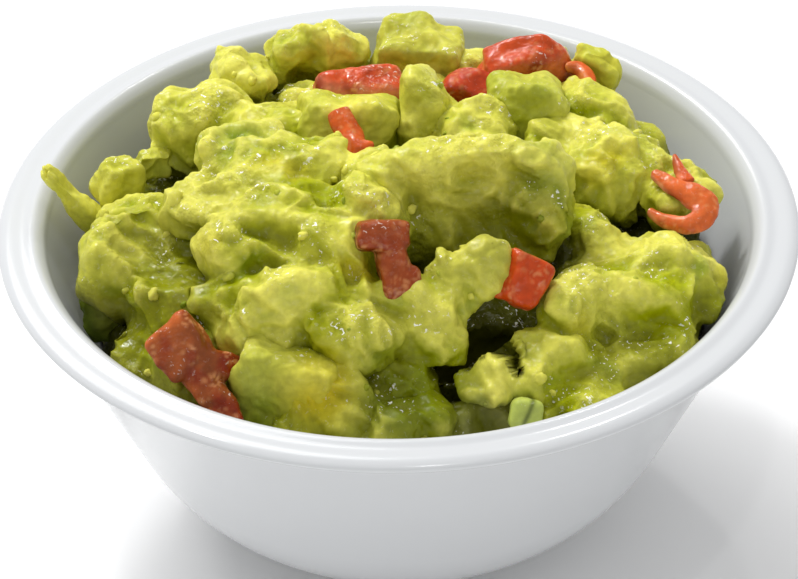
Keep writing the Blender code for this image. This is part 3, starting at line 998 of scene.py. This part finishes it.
# %% Places of the cut pieces
AVOCADO = {
    "spear_left": ((-56.0, 2.0, 0.0), (2.4, 3.0, 10.0), (8, -30, 0), {"taper": 0.5}),
    "cube_left_back": ((-50, 9.5, 0.0), (5.0, 4.6, 4.8), (5, 18, 30), {"taper": 0.3}),
    "nub_left_back": ((-43.4, 14.0, 1.5), (3.0, 2.6, 2.2), (0, 10, 12), {}),
    "cube_back": ((4.3, 42.0, 4.0), (7.8, 5.6, 6.6), (8, 6, -8), {}),
    "cube_centre_back": ((-8.5, 12.0, 7.6), (9.0, 5.8, 6.7), (-22, 6, 4), {}),
    "cube_right_back": ((23, 18.0, 8.0), (6.8, 5.4, 6.0), (-18, 14, 8), {}),
    "slab_right_back": ((35.6, 35.0, 3.6), (4.6, 2.2, 6.6), (10, 14, -30), {}),
    "chunk_left_low": ((-50.8, -16.6, -8.5), (3.2, 3.4, 5.2), (-10, -18, -20), {}),
    "chunk_front": ((-19.8, -42.0, -7.2), (8.4, 5.6, 8.0), (-12, 10, -16), {"box": 8.0}),
}
# %% Cut avocado
GREENNESS = {"chunk_front": 0.1, "chunk_left_low": 0.4, "cube_right_back": 0.25}
cut_avocado = wet_flesh("cut_avocado_moist", 1.4, 0.25, 0.5, 0.25, 0.7)
for name, (at, half, turn, shape) in AVOCADO.items():
    seed += 1
    points, faces, unit = lump(
        at, half, turn, facets=3, uneven=0.12, seed=seed, rings=70, spokes=140,
        **{"box": 7.0, **shape},
    )
    lift = 0.8 * swell(points, 5.0, 8) + 0.5 * (0.25 - np.abs(swell(points, 2.2, 9)))
    points = points + lift[:, None] * normals_of(points, faces)
    points = keep_inside(points, 0.3)
    tint = mixed(mash_tint(points), CREAM, 0.1 + 0.5 * swell(points, 7.0, 10))
    tint = mixed(tint, GREEN, np.full(len(points), GREENNESS.get(name, 0.0)))
    put(
        "avocado_" + name, points, faces, cut_avocado,
        ["avocado_" + name], tint,
    )

# %% [markdown]
# Tomato skin is a smooth waxed film over red flesh, and the flesh itself is
# wet and grainy, paler towards the core. A dice shows skin on one side only, so
# each piece has a way that its skin faces. A piece is one block, or a few made
# one skin where it is torn, hooked or waisted.

# %% Where the tomato is: skin's colour, flesh's, the skin's way, its blocks
TOMATO = {
    "back_left": ("#CC4A18", "#D98060", (0, 0.5, 0.9), [
        ((-7, 24.5, 8.2), (7.8, 4.2, 5.8), (20, 4, 4), {"box": 7.0}),
    ]),
    "waisted": ("#D0591A", "#D9702C", (0, -0.4, 0.9), []),
    "back_small": ("#BE3C10", "#C8501C", (0, 0, 1), [
        ((12.5, 26.5, 7.5), (4.2, 3.4, 3.4), (15, 20, -12), {"box": 5.0}),
    ]),
    "back_large": ("#C84A18", "#D06C38", (0, 0.3, 0.9), [
        ((24, 33, 8.2), (7.6, 3.8, 5.0), (15, -14, 6), {"box": 7.0}),
        ((20, 32, 6.6), (4.6, 3.4, 3.6), (15, -30, 6), {"box": 6.0}),
    ]),
    "strip_back": ("#D25A1C", "#DB8040", (1, 0, 0.3), []),
    "centre": ("#9A4418", "#6A2208", (0, -0.2, 1), [
        ((-2.6, -27.1, 14.0), (4.6, 3.0, 2.5), (-35, 4, 8), {"box": 6.0}),
        ((-1.2, -29.4, 9.9), (2.5, 2.8, 4.6), (-35, -8, 10), {"box": 5.0}),
        ((0.4, -31.4, 7.0), (3.2, 2.6, 2.4), (-35, -12, 10), {"box": 5.0}),
    ]),
    "right_centre": ("#C44410", "#B65A18", (-0.2, -0.9, 0.4), [
        ((20.4, -29.4, 6.2), (3.5, 2.8, 4.4), (-35, 34, 0), {"box": 9.0, "taper": -0.2}),
    ]),
    "front_left": ("#C4622A", "#8A441A", (-0.8, 0.3, 0.5), [
        ((-36.4, -40.6, 1.6), (4.4, 2.3, 4.6), (-42, -38, 14), {"box": 6.0}),
        ((-33.0, -43.4, -2.6), (2.9, 2.2, 5.6), (-42, -38, 14), {}),
        ((-29.6, -41.4, -1.8), (4.2, 1.8, 2.2), (-42, 22, 14), {"box": 5.0}),
        ((-29.6, -46.4, -6.6), (2.7, 2.1, 4.8), (-42, -30, 14), {"box": 5.0}),
    ]),
    "right_hook": ("#D4642A", "#D98A64", (0.3, -0.4, 0.8), []),
    "right_strand": ("#D0561A", "#DB7A45", (1, 0, 0.6), []),
}
TORN = {  # strips: path, half widths along it, half thickness
    "waisted": [
        ([(-10.2, 8.0, 15.6), (-9.0, 5.4, 14.0), (-7.9, 2.6, 12.6), (-7.6, -0.4, 11.0)],
         (2.2, 2.3, 2.5, 3.1), 1.5),
        ([(-8.0, 0.6, 12.6), (-5.9, 0.8, 12.8), (-4.2, 1.4, 13.0)], (2.4, 1.8, 0.8), 1.3),
    ],
    "strip_back": [
        ([(30.6, 31.0, 8.8), (33.0, 30.4, 9.0), (34.6, 28.2, 8.6), (35.0, 25.8, 7.6)],
         (1.0, 1.5, 1.5, 0.9), 1.2),
    ],
    "right_hook": [
        ([(44.3, 0.0, 7.4), (47.6, -3.4, 7.0), (50.6, -5.4, 6.2), (52.6, -7.6, 5.2),
          (52.2, -9.8, 4.2), (49.4, -11.2, 3.6), (46.2, -9.4, 3.4), (43.6, -6.4, 3.8)],
         (1.0, 1.7, 2.5, 2.6, 2.2, 1.7, 1.4, 0.8), 1.1),
    ],
    "right_strand": [
        ([(48.4, 3.6, 8.4), (49.2, 0.6, 7.6), (50.2, -2.6, 6.8)], (0.6, 1.2, 1.7), 1.0),
    ],
}

# %% Diced tomato
PALE_FIBRE, DARK_PULP_AND_SHADE = linear("#E6A268"), linear("#8A2A04")
diced_tomato = wet_flesh("diced_tomato_wet", 0.7, 0.2, 0.42, 0.5, 0.5)
for name, (skin_hex, flesh_hex, way, blocks) in TOMATO.items():
    shells = [strip(*torn) for torn in TORN.get(name, [])]
    for at, half, turn, shape in blocks:
        seed += 1
        shells.append(
            lump(at, half, turn, facets=2, uneven=0.09, seed=seed, **{"box": 4.5, **shape})[:2]
        )
    points, faces = one_skin(shells, 0.3, 1, coarse=0.35, bent=0.5)
    normals = normals_of(points, faces)
    lift = 0.22 * swell(points, 3.0, 12) + 0.12 * (0.25 - np.abs(swell(points, 1.5, 13)))
    points = keep_inside(points + lift[:, None] * normals, 0.3)
    facing = normals @ (np.array(way, float) / np.linalg.norm(way))
    skin = np.tile(linear(skin_hex), (len(points), 1))
    tint = mixed(skin, linear(flesh_hex), 0.9 - 1.6 * facing + 0.5 * swell(points, 3.5, 14))
    cut_side = np.clip(1.0 - 0.9 * facing, 0.45, 1.0)
    tint = mixed(tint, DARK_PULP_AND_SHADE, 2.0 * (swell(points, 4.2, 17) - 0.05) * cut_side)
    # Painted shade: where a piece lies low in the heap it is mixed towards the dark pulp colour.
    tint = mixed(tint, DARK_PULP_AND_SHADE, 0.05 * hollow(points))
    pores = 4.0 * (curds(warped(points, 2.0, 0.8), 1.2, 16) - 0.74) * cut_side
    pores *= np.clip(0.35 + 1.5 * swell(points, 4.0, 19), 0.0, 1.0)
    tint = mixed(tint, PALE_FIBRE, np.minimum(pores, 0.5))
    put(
        "tomato_" + name, points, faces, diced_tomato,
        ["tomato_" + name], tint,
    )

# %% Green chilli
points, faces, unit = lump(
    (20.5, -48.6, -7.4), (2.7, 2.0, 2.7), (-30, 12, 0), seed=seed + 1, rings=50, spokes=100
)
vein = np.exp(-((unit[:, 0] - 0.25 * unit[:, 2]) ** 2) / 0.03)
green_chilli = wet_flesh("green_chilli_wet", 0.8, 0.1, 0.3, 0.6, 0.3)
put(
    "chilli_bit_front", points, faces, green_chilli, ["chilli_bit_front"],
    mixed(np.tile(linear("#B5C25A"), (len(points), 1)), linear("#4E5A1C"), 0.8 * vein),
)

# %% [markdown]
# ## Crumbs
#
# A fork leaves bits of avocado too small to mash, a millimetre or two across,
# and flecks of the dark green flesh next to the skin. They lie half sunk on the
# mash. All the crumbs are one piece and all the flecks another.

# %% Crumbs and flecks
tops = np.concatenate(SPOTS)
for name, count, small, large, colour in (
    ("avocado_crumbs", 40, 0.5, 1.2, CREAM),
    ("green_flecks", 24, 0.35, 0.75, GREEN),
):
    draw = np.random.default_rng(count)
    parts, total = [], 0
    for i, spot in enumerate(draw.choice(len(tops), count, replace=False)):
        x, y, z = tops[spot]
        half = draw.uniform(small, large) * draw.uniform(0.6, 1.3, 3)
        points, faces, unit = lump(
            (x, y, z - HEIGHT - 0.35), half, draw.uniform(-90, 90, 3), box=4.0,
            facets=4, uneven=0.25, seed=3000 + i, rings=7, spokes=12,
        )
        parts.append((points, faces + total))
        total += len(points)
    points = keep_inside(np.concatenate([p for p, f in parts]), CLEARANCE)
    tint = mixed(mash_tint(points), colour, 0.45 + 0.6 * swell(points, 6.0, 18))
    put(
        name, points, np.concatenate([f for p, f in parts]), cut_avocado,
        (), tint,
    )

# %% [markdown]
# ## Floor and light
#
# The floor is a plain pale sheet. One large soft light stands above and behind,
# a little to the left, so tops are pale and the faces towards the camera fall
# into a warm shade. A small bright one makes the glints, and the white world
# fills the rest.

# %% Floor
floor_points = np.array([(-3000, -3000, 0), (3000, -3000, 0), (3000, 3000, 0), (-3000, 3000, 0)], float)
floor_look, tree, shader = new_material("pale_paper")
set_shader(shader, Base_Color=rgba("#F6F6F6"), Roughness=0.9)
floor = bpy.data.objects.new(
    "floor", mesh_from("floor", floor_points, np.array([(0, 1, 2), (0, 2, 3)]))
)
floor.data.materials.append(floor_look)
bpy.context.scene.collection.objects.link(floor)


# %% Lights and world
def aimed(data, place):
    """Stands a light at place, in mm, and turns its -Z to face the heap."""
    light = bpy.data.objects.new(data.name, data)
    spot = Vector((0.0, 0.0, HEIGHT)) - Vector(place)
    turn = spot.to_track_quat("-Z", "Y").to_matrix().to_4x4()
    light.matrix_world = Matrix.Translation(Vector(place) * MM) @ turn
    bpy.context.scene.collection.objects.link(light)
    return light


key = bpy.data.lights.new("key", "SUN")
key.energy, key.angle = 1.6, math.radians(36.0)
aimed(key, (-260, 460, 700))
for name, place, size, power in (
    ("core", (-260, 460, 700), 110.0, 2.2),
    ("glint_left", (-260, 120, 700), 24.0, 0.3),
    ("glint_back", (120, 420, 620), 24.0, 0.3),
    ("glint_front", (60, -260, 760), 24.0, 0.25),
):
    spark = bpy.data.lights.new(name, "AREA")
    spark.shape, spark.size, spark.energy = "SQUARE", size * MM, power
    aimed(spark, place)
card = bpy.data.lights.new("card", "AREA")  # lifts the bowl's wall at the front
card.shape, card.size, card.energy = "SQUARE", 500.0 * MM, 1.8
aimed(card, (0, -900, 40))
world = bpy.data.worlds.new("studio")
world.use_nodes = True
world.node_tree.nodes["Background"].inputs["Color"].default_value = (1, 1, 1, 1)
world.node_tree.nodes["Background"].inputs["Strength"].default_value = 0.56
bpy.context.scene.world = world
bpy.context.scene.view_settings.view_transform = "Standard"
